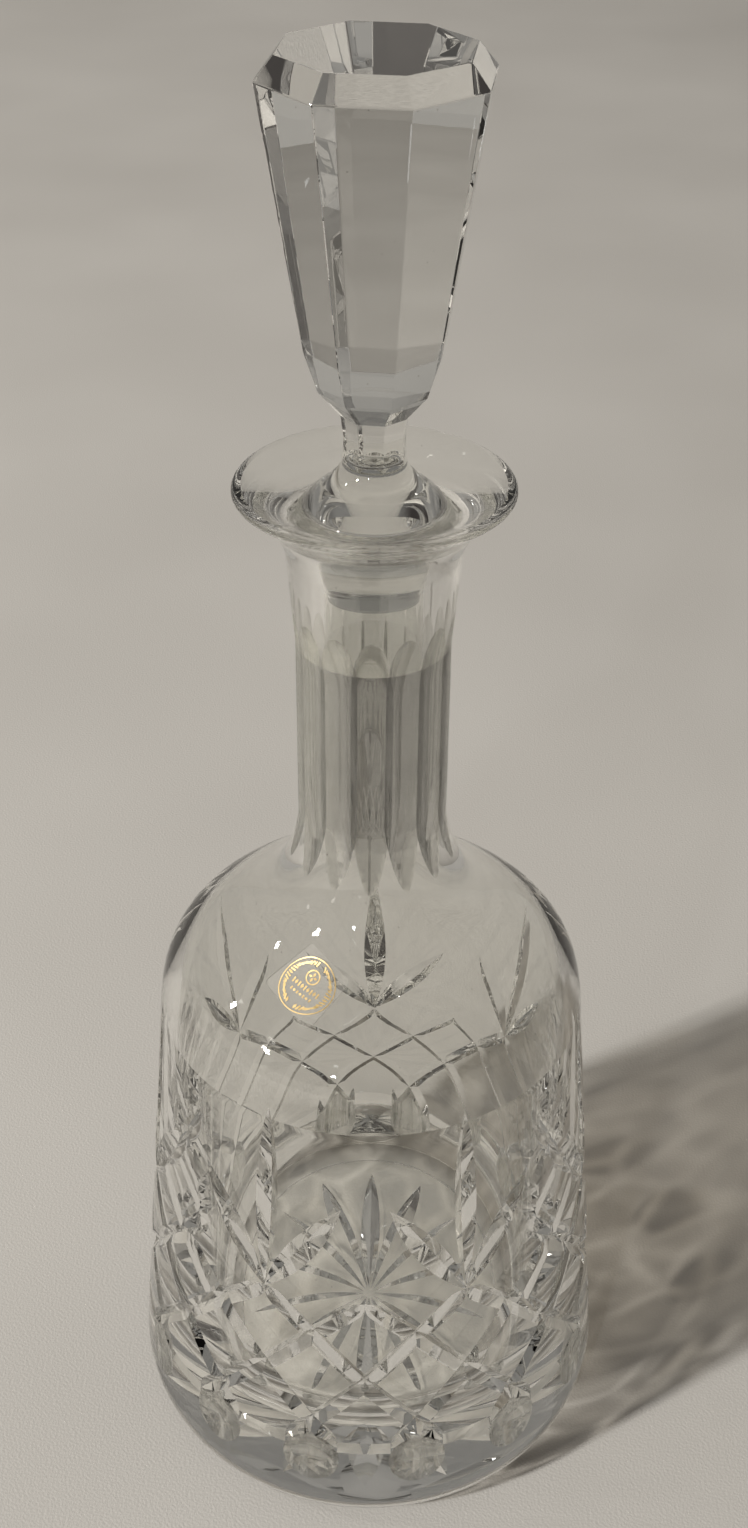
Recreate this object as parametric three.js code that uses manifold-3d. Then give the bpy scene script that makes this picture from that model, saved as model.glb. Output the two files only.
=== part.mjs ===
// Cut crystal decanter: a blown and wheel-cut bottle, a ground octagonal stopper that lifts out of its
// mouth, and a small clear label with a gold seal stuck on the shoulder.
// Millimetres, +Z up. The origin is the centre of the resting ring, and -Y is the front.
import * as THREE from 'three';
import { mergeVertices } from 'three/addons/utils/BufferGeometryUtils.js';
import Module from 'manifold-3d';

const wasm = await Module();
wasm.setup();

// Bottle, from the bottom up.
const FOOT_RADIUS = 50.5;
const FOOT_RING_WIDTH = 8;
const BASE_HOLLOW = 0.8; // how far the underside is ground up inside the resting ring
const HEEL_RADIUS = 55.6;
const HEEL_HEIGHT = 12;
const SIDE_HEIGHT = 104; // the tapered side, from the heel to the shoulder
const SHOULDER_RADIUS = 46.7;
const SHOULDER_HEIGHT = 50;
const NECK_RADIUS = 15.4;
const NECK_LENGTH = 42;
const COLLAR_HEIGHT = 18; // plain band between the fluting and the lip
const COLLAR_RADIUS = 17;
const LIP_RADIUS = 26.9;
const LIP_RISE = 14.6;
const LIP_THICKNESS = 1.9;
const SEAT_RISE = 11; // from the foot of the lip to where the dish meets the mouth

// Inside of the bottle.
const HEEL_WALL = 11.5; // the wall thickens downwards, so the cavity is nearly straight
const SHOULDER_WALL = 3;
const BASE_THICKNESS = 19;
const FLOOR_ROUND = 20; // radius of the corner between the floor and the wall
const BORE_RADIUS = 9.3;

// Cut pattern: fans of three leaves over a band of diamonds, repeated round the side.
const FANS = 7;
const FAN_HEIGHT = 71; // where the leaves of a fan meet, above the resting plane
const LEAF_LENGTH = 50;
const LEAF_WIDTH = 5.2;
const SIDE_LEAF_LENGTH = 31;
const SIDE_LEAF_LEAN = 32; // degrees from upright
const SIDE_LEAF_WIDTH = 6;
const DIAMOND_DROPS = [10.5, 13.5, 13.5, 14]; // height of each row of crossings below the one above
const DIAMOND_STOPS = [0, 0.25, 1, 2, 3, 3.5]; // rows at which a groove is measured out
const GROOVE_WIDTH = 4.2;
const CUT_POINT_WIDTH = 0.2; // width that a cut has faded to at its tips
const VALLEY_ANGLE = 100; // degrees between the two faces of a cut
const PUNTY_TOOL_RADIUS = 14; // round hollows under the band, cut with a ball-edged wheel
const PUNTY_HEIGHT = 23.2; // the middle of a hollow, above the resting plane
const PUNTY_DEPTH = 2;
const BAR_HEIGHT = 26.5; // short level cuts that close the band between the hollows
const BAR_WIDTH = 3.4;
const STAR_EYE = 1.5; // where the rays start
const STAR_RADIUS = 36;
const STAR_WIDTH = 5.5;

// Neck fluting.
const FLUTE_DEPTH = 1.5; // below the uncut neck
const FLUTE_TOOL_RADIUS = 9;
const FLUTE_RUN_OUT = 12.4; // height over which a flute fades at either end
const FLUTE_RUN_OUT_DEPTH = 3; // how far the tool has moved out at the end of a flute
const FLUTE_OVER_COLLAR = 8; // how far the flutes climb into the collar
const FLUTE_UNDER_NECK = 6; // how far they run down into the shoulder

// Stopper: radii are to the corners of the octagon.
const STOPPER_SIDES = 8;
const STOPPER_TURN = 16.5; // degrees, how the stopper stands in the neck
const TABLE_RADIUS = 17.6;
const GIRDLE_RADIUS = 21.2;
const CROWN_HEIGHT = 4.2;
const HEAD_LENGTH = 47.5;
const HEAD_FOOT_RADIUS = 13.4;
const BEVEL_RADIUS = 10.8;
const BEVEL_HEIGHT = 8;
const WAIST_RADIUS = 6;
const WAIST_TOP_RADIUS = 6.6;
const WAIST_BEVEL_HEIGHT = 5;
const WAIST_HEIGHT = 9.5;
const SKIRT_RADIUS = 14;
const SKIRT_HEIGHT = 9;
const PEG_LENGTH = 17.5; // from the edge of the skirt down
const PEG_TAPER = 0.35; // how much narrower the peg is at its tip
const PEG_CHAMFER = 1.6;
const PEG_CLEARANCE = 0.25; // round the peg in the bore
const HEAD_OVERLAP = 2; // how far the round foot is carried up into the waist
const SEAT_CLEARANCE = 0.3; // between the skirt and the mouth

// Label on the shoulder.
const LABEL_SIDE = 13.2;
const LABEL_THICKNESS = 0.2;
const LABEL_CLEARANCE = 0.35;
const LABEL_TURN = 62; // degrees, standing nearly on a corner
const LABEL_BEARING = -24.5; // degrees round from the front
const LABEL_CLIMB = 31.5; // from the foot of the shoulder, measured along the glass
const SEAL_RADIUS = 6.1;
const SEAL_THICKNESS = 0.2;

// Fineness of the round surfaces.
const TURN_STEPS = FANS * 6;
const CURVE_STEPS = 4;
const CUT_STEPS = 6;
const PUNTY_SIDES = 16;
const PUNTY_RINGS = 14;
const FLUTE_TOOL_SIDES = 16;
const LABEL_STEPS = 6;
const SEAL_SIDES = 32;

const SIDE_TOP = HEEL_HEIGHT + SIDE_HEIGHT;
const NECK_FOOT = SIDE_TOP + SHOULDER_HEIGHT;
const COLLAR_FOOT = NECK_FOOT + NECK_LENGTH;
const LIP_FOOT = COLLAR_FOOT + COLLAR_HEIGHT;
const LIP_HEIGHT = LIP_FOOT + LIP_RISE;
const FLUTES = FANS * 2;
const FLUTE_STEP = 360 / FLUTES;
const SKIRT_FOOT = LIP_FOOT + SEAT_RISE + SEAT_CLEARANCE;
const WAIST_FOOT = SKIRT_FOOT + SKIRT_HEIGHT;
const WAIST_TOP = WAIST_FOOT + WAIST_HEIGHT;
const BEVEL_FOOT = WAIST_TOP + WAIST_BEVEL_HEIGHT;
const HEAD_FOOT = BEVEL_FOOT + BEVEL_HEIGHT;
const GIRDLE = HEAD_FOOT + HEAD_LENGTH;
const STOPPER_TOP = GIRDLE + CROWN_HEIGHT;
const SIDE_SLOPE = (HEEL_RADIUS - SHOULDER_RADIUS) / SIDE_HEIGHT;

const point = (r, z) => new THREE.Vector2(r, z);
const line = (from, to) => new THREE.LineCurve(from, to);
const arc = (from, corner, to) => new THREE.QuadraticBezierCurve(from, corner, to);

function outlineOf(...curves) {
  const path = new THREE.CurvePath();
  curves.forEach((curve) => path.add(curve));
  return path.getPoints(CURVE_STEPS);
}

function turned(outline, sides) {
  return new THREE.LatheGeometry(outline, sides).rotateX(Math.PI / 2);
}

// A closed geometry as a solid for cutting and joining.
function solidOf(geometry) {
  geometry.deleteAttribute('normal');
  geometry.deleteAttribute('uv');
  const merged = mergeVertices(geometry);
  const corners = merged.index.array;
  const triangles = [];
  for (let i = 0; i < corners.length; i += 3) {
    const [a, b, c] = corners.slice(i, i + 3);
    if (a !== b && b !== c && c !== a) triangles.push(a, b, c);
  }
  return new wasm.Manifold(new wasm.Mesh({
    numProp: 3,
    vertProperties: new Float32Array(merged.attributes.position.array),
    triVerts: new Uint32Array(triangles),
  }));
}

function geometryOf(solid) {
  const mesh = solid.getMesh();
  const geometry = new THREE.BufferGeometry();
  geometry.setAttribute('position', new THREE.BufferAttribute(mesh.vertProperties, 3));
  geometry.setIndex(new THREE.BufferAttribute(mesh.triVerts, 1));
  return geometry;
}

// The shoulder's outline: a round swell off the side, then a flare into the neck.
function shoulderCurves(sideRadius, sideTop, neckRadius, neckFoot) {
  const at = (inward, upward) => point(
    THREE.MathUtils.lerp(sideRadius, neckRadius, inward),
    THREE.MathUtils.lerp(sideTop, neckFoot, upward),
  );
  const middle = at(0.39, 0.43);
  return [
    new THREE.CubicBezierCurve(at(0, 0), at(0.03, 0.25), at(0.14, 0.31), middle),
    new THREE.CubicBezierCurve(middle, at(0.64, 0.55), at(0.94, 0.66), at(1, 1)),
  ];
}

const outerShoulder = shoulderCurves(SHOULDER_RADIUS, SIDE_TOP, NECK_RADIUS, NECK_FOOT);

function bottleOutline() {
  const lipTip = point(LIP_RADIUS, LIP_HEIGHT);
  const lipTop = point(LIP_RADIUS - LIP_THICKNESS, LIP_HEIGHT + LIP_THICKNESS / 2);
  const ringInside = FOOT_RADIUS - FOOT_RING_WIDTH;
  const [swell, flare] = outerShoulder;
  const outside = [
    line(point(0, BASE_HOLLOW), point(ringInside - BASE_HOLLOW, BASE_HOLLOW)),
    line(point(ringInside - BASE_HOLLOW, BASE_HOLLOW), point(ringInside, 0)),
    line(point(ringInside, 0), point(FOOT_RADIUS, 0)),
    arc(point(FOOT_RADIUS, 0), point(HEEL_RADIUS, HEEL_HEIGHT / 3), point(HEEL_RADIUS, HEEL_HEIGHT)),
    line(point(HEEL_RADIUS, HEEL_HEIGHT), point(SHOULDER_RADIUS, SIDE_TOP)),
    swell,
    flare,
    line(point(NECK_RADIUS, NECK_FOOT), point(NECK_RADIUS, COLLAR_FOOT)),
    line(point(NECK_RADIUS, COLLAR_FOOT), point(COLLAR_RADIUS, LIP_FOOT)),
    arc(point(COLLAR_RADIUS, LIP_FOOT), point(COLLAR_RADIUS, LIP_HEIGHT - LIP_RISE / 2), lipTip),
    arc(lipTip, point(LIP_RADIUS, LIP_HEIGHT + LIP_THICKNESS / 2), lipTop),
  ];
  const mouth = point(SKIRT_RADIUS, LIP_FOOT + SEAT_RISE);
  const boreTop = point(BORE_RADIUS, LIP_FOOT);
  const inWall = HEEL_RADIUS - HEEL_WALL;
  const inSideTop = point(SHOULDER_RADIUS - SHOULDER_WALL, SIDE_TOP);
  const floorEdge = point(inWall - FLOOR_ROUND, BASE_THICKNESS);
  const wallFoot = point(inWall, BASE_THICKNESS + FLOOR_ROUND);
  const [inSwell, inFlare] = shoulderCurves(inSideTop.x, SIDE_TOP, BORE_RADIUS, NECK_FOOT);
  const inside = [
    arc(lipTop, point(SKIRT_RADIUS + LIP_THICKNESS, mouth.y), mouth),
    arc(mouth, point(BORE_RADIUS, mouth.y), boreTop),
    line(boreTop, point(BORE_RADIUS, NECK_FOOT)),
    ...reversed(inSwell, inFlare),
    line(inSideTop, wallFoot),
    arc(wallFoot, point(inWall, BASE_THICKNESS), floorEdge),
    line(floorEdge, point(0, BASE_THICKNESS)),
  ];
  return outlineOf(...outside, ...inside);
}

// The two curves of a shoulder, run from the neck down to the side.
function reversed(swell, flare) {
  return [flare, swell].map((c) => new THREE.CubicBezierCurve(c.v3, c.v2, c.v1, c.v0));
}

const sideRadius = (height) => HEEL_RADIUS - (height - HEEL_HEIGHT) * SIDE_SLOPE;

// The way out from the axis at a bearing in degrees, counted from the front towards +X.
function outward(bearing) {
  const turn = THREE.MathUtils.degToRad(bearing);
  return new THREE.Vector3(Math.sin(turn), -Math.cos(turn), 0);
}

// A place on the tapered side of the body, with the glass's outward normal there.
function sidePlace(bearing, height) {
  const out = outward(bearing);
  return {
    place: out.clone().multiplyScalar(sideRadius(height)).setZ(height),
    normal: out.clone().setZ(SIDE_SLOPE).normalize(),
  };
}

// A valley cut by a sharp-edged wheel: stations along the cut, each with its place, the outward normal
// of the glass and the width of the cut there. The cutter stands a little above the glass.
function valleyCutter(stations) {
  const spread = Math.tan(THREE.MathUtils.degToRad(VALLEY_ANGLE / 2));
  const above = 1;
  const vertices = [];
  stations.forEach(({ place, normal, width }, i) => {
    const before = stations[Math.max(i - 1, 0)].place;
    const after = stations[Math.min(i + 1, stations.length - 1)].place;
    const across = after.clone().sub(before).cross(normal).normalize();
    const depth = width / 2 / spread;
    const half = (depth + above) * spread;
    const top = place.clone().addScaledVector(normal, above);
    vertices.push(
      place.clone().addScaledVector(normal, -depth),
      top.clone().addScaledVector(across, half),
      top.clone().addScaledVector(across, -half),
    );
  });
  const last = 3 * (stations.length - 1);
  const triangles = [[0, 1, 2], [last, last + 2, last + 1]];
  for (let base = 0; base < last; base += 3) {
    for (const [a, b] of [[0, 1], [1, 2], [2, 0]]) {
      triangles.push([base + a, base + 3 + a, base + b], [base + b, base + 3 + a, base + 3 + b]);
    }
  }
  const geometry = new THREE.BufferGeometry().setFromPoints(vertices);
  geometry.setIndex(triangles.flat());
  return solidOf(geometry);
}

// Width of a leaf along its length: pointed at both ends and full in the middle.
const leafWidth = (share, width) => CUT_POINT_WIDTH + width * 4 * share * (1 - share);

function leaf(bearing, length, lean, width) {
  const tilt = THREE.MathUtils.degToRad(lean);
  const stations = [];
  for (let i = 0; i <= CUT_STEPS; i += 1) {
    const share = i / CUT_STEPS;
    const height = FAN_HEIGHT + share * length * Math.cos(tilt);
    const sideways = share * length * Math.sin(tilt);
    const turn = THREE.MathUtils.radToDeg(sideways / sideRadius(height));
    stations.push({ ...sidePlace(bearing + turn, height), width: leafWidth(share, width) });
  }
  return valleyCutter(stations);
}

function fan(bearing) {
  return [
    leaf(bearing, LEAF_LENGTH, 0, LEAF_WIDTH),
    leaf(bearing, SIDE_LEAF_LENGTH, SIDE_LEAF_LEAN, SIDE_LEAF_WIDTH),
    leaf(bearing, SIDE_LEAF_LENGTH, -SIDE_LEAF_LEAN, SIDE_LEAF_WIDTH),
  ];
}

// One long groove of the diamond band. It starts level with the fans and winds down one way.
function diamondGroove(bearing, way) {
  const last = DIAMOND_STOPS.length - 1;
  const stations = DIAMOND_STOPS.map((rows, i) => {
    const fall = DIAMOND_DROPS.reduce((sum, drop, row) => sum + drop * THREE.MathUtils.clamp(rows - row, 0, 1), 0);
    const width = i === 0 || i === last ? CUT_POINT_WIDTH : GROOVE_WIDTH;
    return { ...sidePlace(bearing + way * rows * FLUTE_STEP / 2, FAN_HEIGHT - fall), width };
  });
  return valleyCutter(stations);
}

// A round hollow under the band, as a ball-edged wheel leaves: the ball's pole faces the glass.
function punty(bearing) {
  const cutter = new THREE.SphereGeometry(PUNTY_TOOL_RADIUS, PUNTY_SIDES, PUNTY_RINGS);
  const reach = sideRadius(PUNTY_HEIGHT) - PUNTY_DEPTH + PUNTY_TOOL_RADIUS;
  cutter.translate(0, -reach, PUNTY_HEIGHT).rotateZ(THREE.MathUtils.degToRad(bearing));
  return solidOf(cutter);
}

// A short level cut between two hollows, as long as the gap between the grooves that end there.
function levelBar(bearing) {
  const stations = [-FLUTE_STEP / 4, 0, FLUTE_STEP / 4].map((turn) => (
    { ...sidePlace(bearing + turn, BAR_HEIGHT), width: BAR_WIDTH }
  ));
  return valleyCutter(stations);
}

// The star under the base: one valley from near the centre out to the resting ring.
function starRay(bearing) {
  const steps = CUT_STEPS / 2;
  const stations = [];
  for (let i = 0; i <= steps; i += 1) {
    const share = i / steps;
    const reach = THREE.MathUtils.lerp(STAR_EYE, STAR_RADIUS, share);
    stations.push({
      place: outward(bearing).multiplyScalar(reach).setZ(BASE_HOLLOW),
      normal: new THREE.Vector3(0, 0, -1),
      width: leafWidth(share, STAR_WIDTH),
    });
  }
  return valleyCutter(stations);
}

// One flute of the neck: a round-edged tool that runs out through the collar above and the shoulder below.
function flute(bearing) {
  const low = NECK_FOOT - FLUTE_UNDER_NECK;
  const high = COLLAR_FOOT + FLUTE_OVER_COLLAR;
  const fade = [1.3, 1, 0.7, 0.3, 0];
  const stations = [
    ...fade.map((share) => [low + FLUTE_RUN_OUT * (1 - share), share]),
    ...fade.toReversed().map((share) => [high - FLUTE_RUN_OUT * (1 - share), share]),
  ];
  const rings = stations.map(([height, share]) => {
    const lift = FLUTE_RUN_OUT_DEPTH * share * share;
    const centre = NECK_RADIUS - FLUTE_DEPTH + lift + FLUTE_TOOL_RADIUS;
    const ring = [];
    for (let i = 0; i < FLUTE_TOOL_SIDES; i += 1) {
      const angle = 2 * Math.PI * (i + 0.5) / FLUTE_TOOL_SIDES;
      const [across, along] = [Math.sin(angle), Math.cos(angle)].map((v) => v * FLUTE_TOOL_RADIUS);
      ring.push(new THREE.Vector3(across, -centre - along, height));
    }
    return ring;
  });
  return solidOf(loft(rings).rotateZ(THREE.MathUtils.degToRad(bearing)));
}

// A closed skin over rings of points that go round counter-clockwise seen from the last ring.
function loft(rings) {
  const sides = rings[0].length;
  const triangles = [];
  for (let i = 1; i < sides - 1; i += 1) {
    const last = (rings.length - 1) * sides;
    triangles.push([0, i + 1, i], [last, last + i, last + i + 1]);
  }
  for (let ring = 0; ring < rings.length - 1; ring += 1) {
    for (let i = 0; i < sides; i += 1) {
      const [a, b] = [ring * sides + i, ring * sides + (i + 1) % sides];
      triangles.push([a, b, a + sides], [b, b + sides, a + sides]);
    }
  }
  const geometry = new THREE.BufferGeometry().setFromPoints(rings.flat());
  geometry.setIndex(triangles.flat());
  return geometry;
}

function bottle() {
  const cutters = [];
  for (let i = 0; i < FLUTES; i += 1) {
    const bearing = i * FLUTE_STEP;
    cutters.push(flute(bearing), punty(bearing + FLUTE_STEP / 2), levelBar(bearing), starRay(bearing));
    cutters.push(diamondGroove(bearing, 1), diamondGroove(bearing, -1));
  }
  for (let i = 0; i < FANS; i += 1) cutters.push(...fan((i + 0.5) * 360 / FANS));
  const blank = solidOf(turned(bottleOutline(), TURN_STEPS));
  return geometryOf(cutters.reduce((glass, cutter) => glass.subtract(cutter), blank));
}

// The ground head: a crown over eight long panels that narrow to a waist.
function stopperHeadOutline() {
  return [
    point(0, WAIST_FOOT),
    point(WAIST_RADIUS, WAIST_FOOT),
    point(WAIST_RADIUS, WAIST_FOOT + WAIST_HEIGHT / 2),
    point(WAIST_TOP_RADIUS, WAIST_TOP),
    point(BEVEL_RADIUS, BEVEL_FOOT),
    point(HEAD_FOOT_RADIUS, HEAD_FOOT),
    point(GIRDLE_RADIUS, GIRDLE),
    point(TABLE_RADIUS, STOPPER_TOP),
    point(0, STOPPER_TOP),
  ];
}

// The round lower half: a bell skirt that sits in the mouth, and the peg that fills the bore.
function stopperFootOutline() {
  const pegRadius = BORE_RADIUS - PEG_CLEARANCE;
  const tipRadius = pegRadius - PEG_TAPER;
  const pegFoot = SKIRT_FOOT - PEG_LENGTH;
  const throat = point(pegRadius, LIP_FOOT);
  const bell = point(SKIRT_RADIUS - SEAT_CLEARANCE, SKIRT_FOOT);
  const at = (inward, upward) => point(
    THREE.MathUtils.lerp(bell.x, WAIST_RADIUS, inward),
    SKIRT_FOOT + SKIRT_HEIGHT * upward,
  );
  return outlineOf(
    line(point(0, pegFoot), point(tipRadius - PEG_CHAMFER, pegFoot)),
    line(point(tipRadius - PEG_CHAMFER, pegFoot), point(tipRadius, pegFoot + PEG_CHAMFER)),
    line(point(tipRadius, pegFoot + PEG_CHAMFER), throat),
    arc(throat, point(pegRadius, SKIRT_FOOT), bell),
    new THREE.CubicBezierCurve(bell, at(0.2, 0.3), at(0.88, 0.6), at(1, 1)),
    line(point(WAIST_RADIUS, WAIST_FOOT), point(0, WAIST_FOOT + HEAD_OVERLAP)),
  );
}

function stopper() {
  const head = solidOf(turned(stopperHeadOutline(), STOPPER_SIDES));
  const foot = solidOf(turned(stopperFootOutline(), TURN_STEPS));
  return geometryOf(head.add(foot));
}

// Lays a flat geometry on the shoulder: x runs round it, y climbs it and z stands off the glass.
function laidOnShoulder(geometry, standOff) {
  const shoulder = new THREE.CurvePath();
  outerShoulder.forEach((curve) => shoulder.add(curve));
  const corners = geometry.attributes.position;
  for (let i = 0; i < corners.count; i += 1) {
    const share = (LABEL_CLIMB + corners.getY(i)) / shoulder.getLength();
    const foot = shoulder.getPointAt(share);
    const tangent = shoulder.getTangentAt(share);
    const lift = standOff + corners.getZ(i);
    const bearing = LABEL_BEARING + THREE.MathUtils.radToDeg(corners.getX(i) / foot.x);
    const place = outward(bearing).multiplyScalar(foot.x + tangent.y * lift);
    corners.setXYZ(i, place.x, place.y, foot.y - tangent.x * lift);
  }
  return geometry;
}

function labelFilm() {
  const film = new THREE.BoxGeometry(
    LABEL_SIDE, LABEL_SIDE, LABEL_THICKNESS, LABEL_STEPS, LABEL_STEPS, 1,
  );
  film.rotateZ(THREE.MathUtils.degToRad(LABEL_TURN)).translate(0, 0, LABEL_THICKNESS / 2);
  return laidOnShoulder(film, LABEL_CLEARANCE);
}

function labelSeal() {
  const rings = [0, SEAL_RADIUS / 3, 2 * SEAL_RADIUS / 3, SEAL_RADIUS];
  const outline = [
    ...rings.map((r) => point(r, 0)),
    ...rings.toReversed().map((r) => point(r, SEAL_THICKNESS)),
  ];
  return laidOnShoulder(turned(outline, SEAL_SIDES), 2 * LABEL_CLEARANCE + LABEL_THICKNESS);
}

function piece(name, geometry, finish) {
  const mesh = new THREE.Mesh(geometry, new THREE.MeshStandardMaterial(finish));
  mesh.name = name;
  return mesh;
}

const CRYSTAL = { color: 0xdfe3e2, roughness: 0.03, metalness: 0, transparent: true, opacity: 0.35 };
const CLEAR_FILM = { color: 0xf2f2ee, roughness: 0.2, metalness: 0, transparent: true, opacity: 0.4 };
const GOLD_FOIL = { color: 0xc79a45, roughness: 0.3, metalness: 1 };

const decanter = new THREE.Group();
decanter.add(piece('decanter_bottle', bottle(), CRYSTAL));
decanter.add(piece('label_film', labelFilm(), CLEAR_FILM));
decanter.add(piece('label_seal', labelSeal(), GOLD_FOIL));

const lifted = new THREE.Group();
lifted.rotation.z = THREE.MathUtils.degToRad(STOPPER_TURN);
lifted.add(piece('stopper', stopper(), CRYSTAL));
decanter.add(lifted);

export default decanter;
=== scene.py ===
# %% [markdown]
# # A cut crystal decanter, made in cells
#
# The real thing is two pieces of heavy lead crystal: a bottle, blown in one and then cut with wheels, and a
# solid stopper ground to fit its neck. A small clear label with a gold seal sits on the shoulder. The packed
# model gives the frame: where each piece is, how big it is and what moves. Here each piece gets its fine
# surface and its finish, in metres, in that same frame.

import math

import bmesh
import bpy
import numpy as np
from mathutils import Matrix, Vector


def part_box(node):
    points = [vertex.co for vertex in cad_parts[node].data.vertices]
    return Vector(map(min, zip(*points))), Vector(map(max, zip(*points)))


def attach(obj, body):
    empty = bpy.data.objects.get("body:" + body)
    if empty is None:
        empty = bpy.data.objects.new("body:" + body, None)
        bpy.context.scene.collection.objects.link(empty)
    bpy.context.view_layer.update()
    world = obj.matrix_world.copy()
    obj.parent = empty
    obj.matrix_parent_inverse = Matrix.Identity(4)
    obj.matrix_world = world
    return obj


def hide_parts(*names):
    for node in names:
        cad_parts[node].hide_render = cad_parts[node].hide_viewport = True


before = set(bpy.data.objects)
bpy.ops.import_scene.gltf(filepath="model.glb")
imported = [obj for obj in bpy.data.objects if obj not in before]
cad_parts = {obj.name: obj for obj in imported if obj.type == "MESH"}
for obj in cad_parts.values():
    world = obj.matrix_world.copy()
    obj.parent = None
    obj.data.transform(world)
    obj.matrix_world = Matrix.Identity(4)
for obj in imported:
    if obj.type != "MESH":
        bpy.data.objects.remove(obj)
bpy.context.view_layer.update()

# %% [markdown]
# ## Where the camera stands
#
# The decanter is seen from above the lip, looking down at about 35 degrees, from half a metre away. A near
# camera makes the stopper look large beside the foot. The camera comes first, so that every later choice can
# be judged in the same view.

# %% The camera
MM = 0.001
CAMERA_BACK = 331.5 * MM
CAMERA_HEIGHT = 406.9 * MM
CAMERA_DOWN = 34.68
CAMERA_ROUND = 1.0
CAMERA_ROLL = 0.39
FIELD = 36.0
LENS = 46.234555
SIDE_SHIFT = 0.0009


def make_camera():
    data = bpy.data.cameras.new("camera")
    data.sensor_width = FIELD
    data.lens = LENS
    data.shift_x = SIDE_SHIFT
    data.clip_start = 0.01
    camera = bpy.data.objects.new("camera", data)
    bpy.context.scene.collection.objects.link(camera)
    tip = Matrix.Rotation(math.radians(90 - CAMERA_DOWN), 4, "X")
    roll = Matrix.Rotation(math.radians(CAMERA_ROLL), 4, "Z")
    place = Matrix.Translation((0, -CAMERA_BACK, CAMERA_HEIGHT))
    swing = Matrix.Rotation(math.radians(CAMERA_ROUND), 4, "Z")
    camera.matrix_world = swing @ place @ tip @ roll
    bpy.context.scene.camera = camera
    return camera


camera = make_camera()
print("camera at", [round(v, 3) for v in camera.matrix_world.translation], "lens", round(LENS, 2))

# %% [markdown]
# ## Sizes of the glass
#
# The bottle is a lathe shape, so a few radii and heights say nearly everything. They repeat the design's
# driving sizes, in millimetres, and are printed beside the box of the imported bottle.

# %% Driving sizes, in millimetres
FOOT_RADIUS = 50.5
FOOT_RING_WIDTH = 8
BASE_HOLLOW = 0.8
HEEL_RADIUS = 55.6
HEEL_HEIGHT = 12
SIDE_HEIGHT = 104
SHOULDER_RADIUS = 46.7
SHOULDER_HEIGHT = 50
NECK_RADIUS = 15.4
NECK_LENGTH = 42
COLLAR_RADIUS = 17
COLLAR_HEIGHT = 18
LIP_RADIUS = 26.9
LIP_RISE = 14.6
LIP_THICKNESS = 1.9
MOUTH_RADIUS = 14
SEAT_RISE = 11
HEEL_WALL = 11.5
SHOULDER_WALL = 3
BASE_THICKNESS = 19
FLOOR_ROUND = 20
BORE_RADIUS = 9.3

SIDE_TOP = HEEL_HEIGHT + SIDE_HEIGHT
NECK_FOOT = SIDE_TOP + SHOULDER_HEIGHT
COLLAR_FOOT = NECK_FOOT + NECK_LENGTH
LIP_FOOT = COLLAR_FOOT + COLLAR_HEIGHT
LIP_HEIGHT = LIP_FOOT + LIP_RISE
SIDE_SLOPE = (HEEL_RADIUS - SHOULDER_RADIUS) / SIDE_HEIGHT

low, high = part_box("decanter_bottle")
print("packed bottle, mm:", [round((b - a) / MM, 1) for a, b in zip(low, high)])
print("drawn bottle, mm:", 2 * HEEL_RADIUS, LIP_HEIGHT + LIP_THICKNESS / 2)

# %% [markdown]
# ## Turning a shape
#
# A blown body has no flat spot on its round surfaces, and clear glass shows every ripple of a coarse mesh,
# because it bends what is seen through it. So the outline is drawn with curves, turned in many fine steps,
# and the exact slope of each curve is kept beside its points to light the surface smoothly.

# %% Curves and outlines
def curve(*corners, steps=16):
    """Points on a Bezier curve of any number of corners, with the slope at each point."""
    corners = np.array(corners, float)
    share = np.linspace(0, 1, steps + 1)[:, None]
    order = len(corners) - 1

    def blend(points):
        n = len(points) - 1
        weights = [math.comb(n, k) * (1 - share) ** (n - k) * share**k for k in range(n + 1)]
        return sum(weight * point for weight, point in zip(weights, points))

    points = blend(corners)
    legs = np.diff(corners, axis=0)
    slope = blend(legs) if order > 1 else np.repeat(legs, steps + 1, 0)
    return points, slope / np.linalg.norm(slope, axis=1, keepdims=True)


def straight(start, end, steps=1):
    return curve(start, end, steps=steps)


def outline_of(*parts):
    """One run of points, and for each span between two points the outward normals at its two ends."""
    points = [parts[0][0][:1]]
    normals = []
    for run, slope in parts:
        points.append(run[1:])
        outward = np.stack([slope[:, 1], -slope[:, 0]], 1)
        normals.append(np.stack([outward[:-1], outward[1:]], 1))
    return np.vstack(points), np.vstack(normals)


def shoulder_parts(side_radius, neck_radius, steps):
    """The round swell off the side and the flare into the neck, with their slopes."""

    def at(inward, upward):
        radius = side_radius + (neck_radius - side_radius) * inward
        return radius, SIDE_TOP + SHOULDER_HEIGHT * upward

    swell = curve(at(0, 0), at(0.03, 0.25), at(0.14, 0.31), at(0.39, 0.43), steps=steps)
    flare = curve(at(0.39, 0.43), at(0.64, 0.55), at(0.94, 0.66), at(1, 1), steps=steps)
    return swell, flare


def backwards(part):
    points, slope = part
    return points[::-1], -slope[::-1]


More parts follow.
